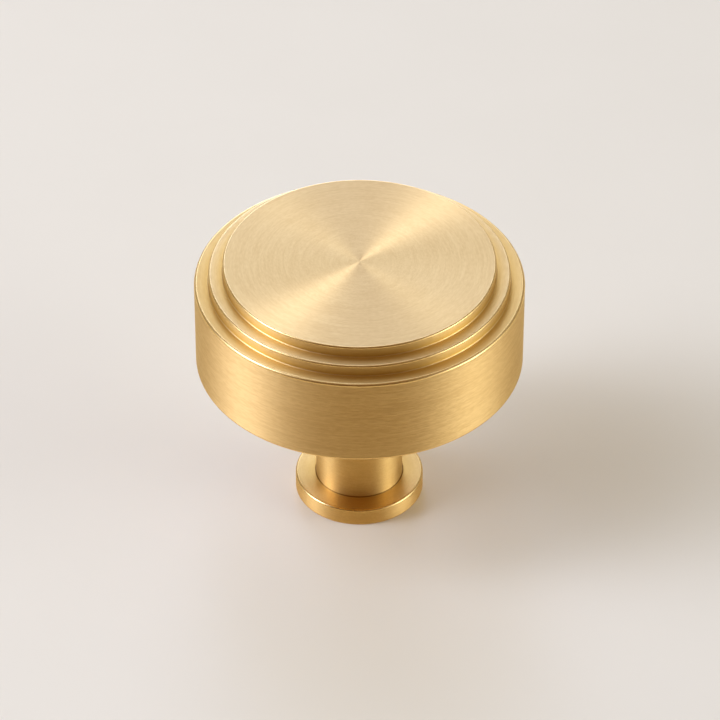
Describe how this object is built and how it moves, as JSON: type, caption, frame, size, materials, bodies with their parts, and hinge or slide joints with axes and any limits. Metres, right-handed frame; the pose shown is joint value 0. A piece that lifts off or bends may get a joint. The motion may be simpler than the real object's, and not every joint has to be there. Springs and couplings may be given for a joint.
{
  "type": "cabinet knob",
  "caption": "Round stepped brass cabinet knob: a wide drum head with shallow steps on a slim stem and a round foot with a tapped blind hole.",
  "frame": {"origin": "centre of the foot's flat back face, on the knob's axis", "axes": "+Z along the knob's axis, from the foot's back face towards the top of the head; X and Y are free, because the knob is round"},
  "size_m": [0.038, 0.038, 0.0334],
  "materials": {
    "brushed_brass": "circular brushed satin brass, unlacquered look"
  },
  "bodies": {
    "root": {"knob": "brushed_brass"}
  },
  "joints": []
}
